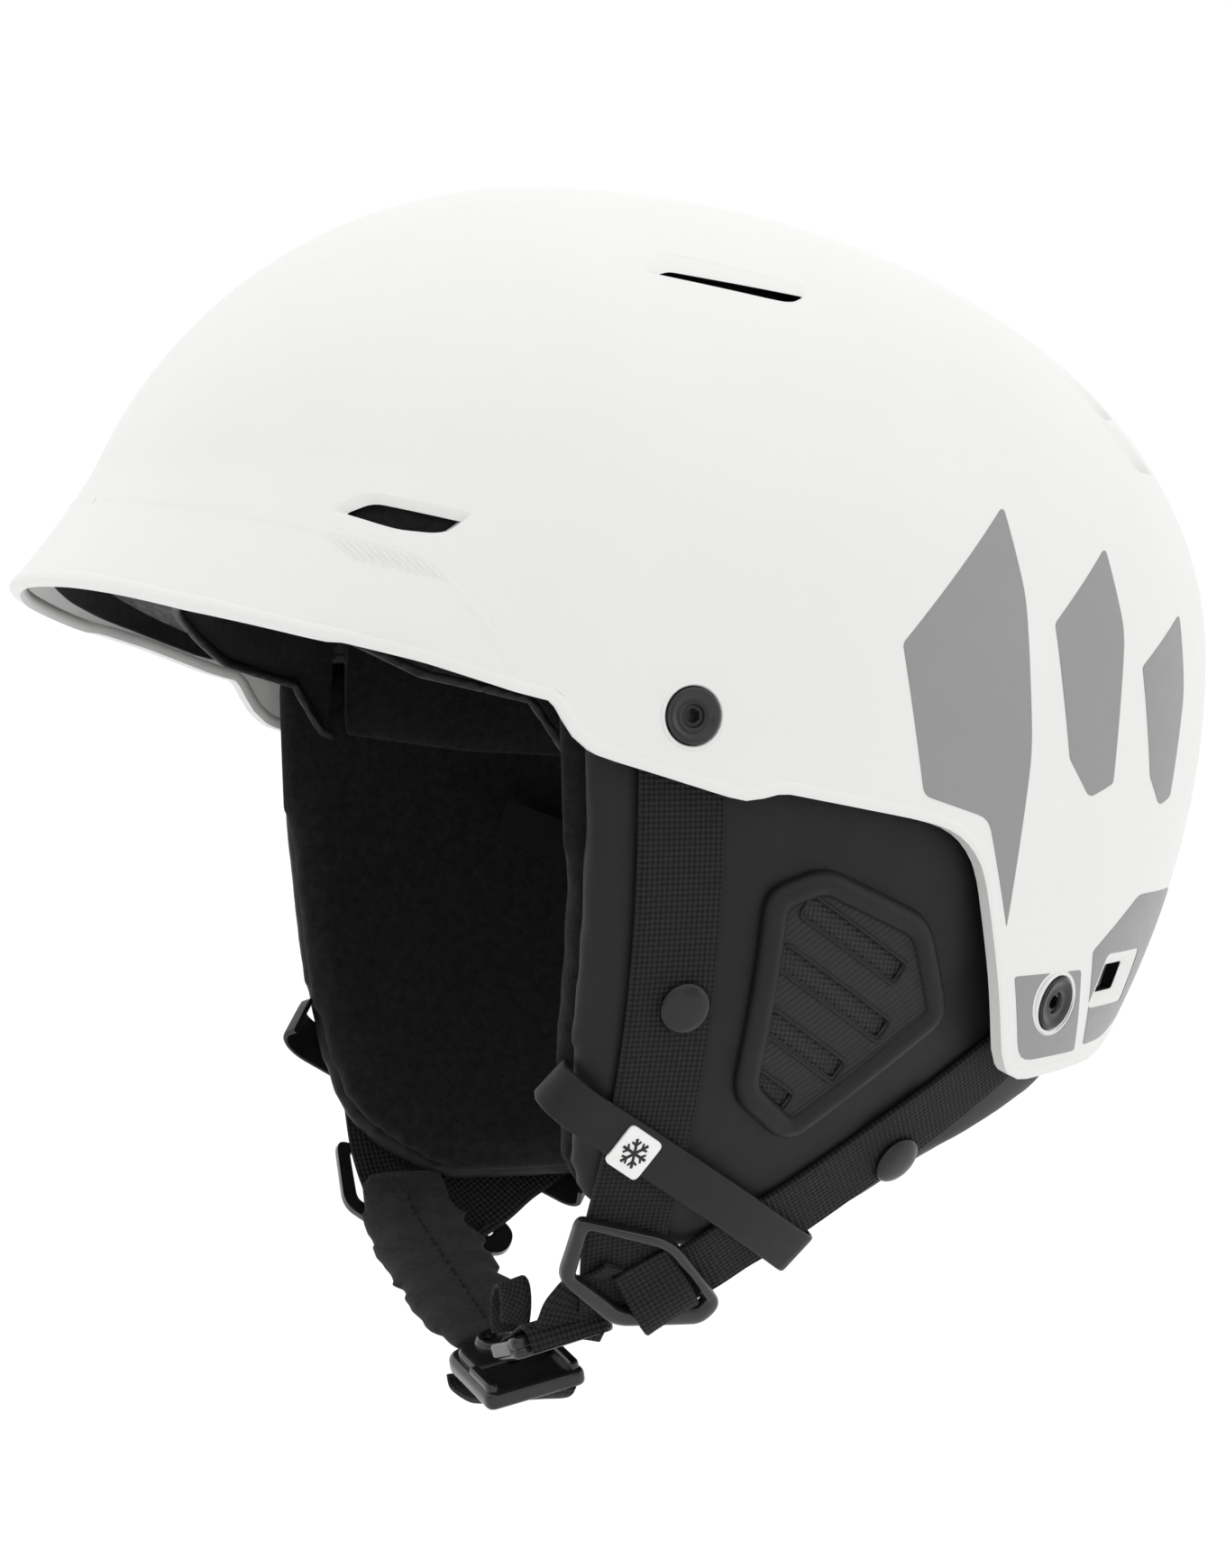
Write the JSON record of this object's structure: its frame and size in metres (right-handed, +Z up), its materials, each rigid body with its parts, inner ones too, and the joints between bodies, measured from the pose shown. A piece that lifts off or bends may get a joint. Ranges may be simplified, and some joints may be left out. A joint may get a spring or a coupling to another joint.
{
  "type": "ski helmet",
  "caption": "Ski helmet with a short brim, vents, soft ear pads with grilles, Y-shaped side straps, padded chin strap with side-release slide buckle, nape fit dial and goggle clip.",
  "frame": {"origin": "on the middle plane, in the head opening, at the height of the brim's edge and where the shell is widest", "axes": "-Y forward, the way the wearer faces; +X to the wearer's left; +Z up"},
  "size_m": [0.2278, 0.2815, 0.275],
  "materials": {
    "shell_white": "satin white moulded shell",
    "liner_foam": "beaded grey foam",
    "fleece_black": "short brushed fleece",
    "softshell_black": "smooth rubbery softshell",
    "webbing_black": "woven webbing",
    "mesh_black": "knitted mesh",
    "rubber_black": "matt moulded rubber",
    "hard_black": "satin moulded plastic",
    "tag_white": "printed white tag"
  },
  "bodies": {
    "helmet": {"outer_shell": "shell_white", "foam_liner": "liner_foam", "brow_pad": "fleece_black", "crown_pad": "fleece_black", "side_pad_left": "fleece_black", "side_pad_right": "fleece_black", "top_vent_mesh_left": "mesh_black", "top_vent_mesh_right": "mesh_black", "rivet_front_left": "hard_black", "rivet_front_right": "hard_black", "rivet_rear_left": "hard_black", "rivet_rear_right": "hard_black", "ear_cover_left": "softshell_black", "ear_cover_right": "softshell_black", "ear_lining_left": "fleece_black", "ear_lining_right": "fleece_black", "ear_grille_left": "rubber_black", "ear_grille_right": "rubber_black", "ear_mesh_left": "mesh_black", "ear_mesh_right": "mesh_black", "front_webbing_left": "webbing_black", "front_webbing_right": "webbing_black", "rear_webbing_left": "webbing_black", "rear_webbing_right": "webbing_black", "snap_front_left": "hard_black", "snap_front_right": "hard_black", "snap_rear_left": "hard_black", "snap_rear_right": "hard_black", "keeper_band_left": "rubber_black", "keeper_band_right": "rubber_black", "keeper_tag_left": "tag_white", "keeper_tag_right": "tag_white", "strap_divider_left": "hard_black", "strap_divider_right": "hard_black", "fit_cradle": "hard_black", "nape_pad": "fleece_black", "goggle_clip_anchor": "hard_black", "goggle_clip_stud": "hard_black"},
    "chin_strap": {"chin_sleeve": "fleece_black", "buckle_base": "hard_black", "chin_webbing_fold": "webbing_black", "chin_webbing_left": "webbing_black"},
    "buckle_release": {"buckle_tongue": "hard_black", "pull_ribbon": "webbing_black"},
    "dial": {"fit_dial": "rubber_black"},
    "arm_left": {"fit_arm_left": "hard_black"},
    "arm_right": {"fit_arm_right": "hard_black"},
    "goggle_clip": {"goggle_clip_strap": "rubber_black", "goggle_clip_cap": "hard_black"}
  },
  "joints": [
    {"name": "chin_strap_swing", "type": "hinge", "parent": "helmet", "child": "chin_strap", "pos_m": [0, -0.008, -0.146], "axis": [-1, 0, 0], "range_deg": [-15, 40]},
    {"name": "buckle_slide", "type": "slide", "parent": "chin_strap", "child": "buckle_release", "axis": [0, -1, 0], "range_m": [0, 0.016]},
    {"name": "fit_dial_turn", "type": "hinge", "parent": "helmet", "child": "dial", "pos_m": [0, 0.12018, -0.08736], "axis": [0, 0.9397, -0.342], "range_deg": [0, 270]},
    {"name": "fit_arm_left_draw", "type": "hinge", "parent": "helmet", "child": "arm_left", "pos_m": [0, 0.045, -0.06], "axis": [0, 0.342, 0.9397], "range_deg": [0, 4.5]},
    {"name": "fit_arm_right_draw", "type": "hinge", "parent": "helmet", "child": "arm_right", "pos_m": [0, 0.045, -0.06], "axis": [0, -0.342, -0.9397], "range_deg": [0, 4.5]},
    {"name": "goggle_clip_flip", "type": "hinge", "parent": "helmet", "child": "goggle_clip", "pos_m": [0, 0.169, -0.044], "axis": [1, 0, 0], "range_deg": [0, 75]}
  ],
  "couplings": [
    {"joint": "fit_arm_left_draw", "follows": "fit_dial_turn", "ratio": 0.016667},
    {"joint": "fit_arm_right_draw", "follows": "fit_dial_turn", "ratio": 0.016667}
  ]
}
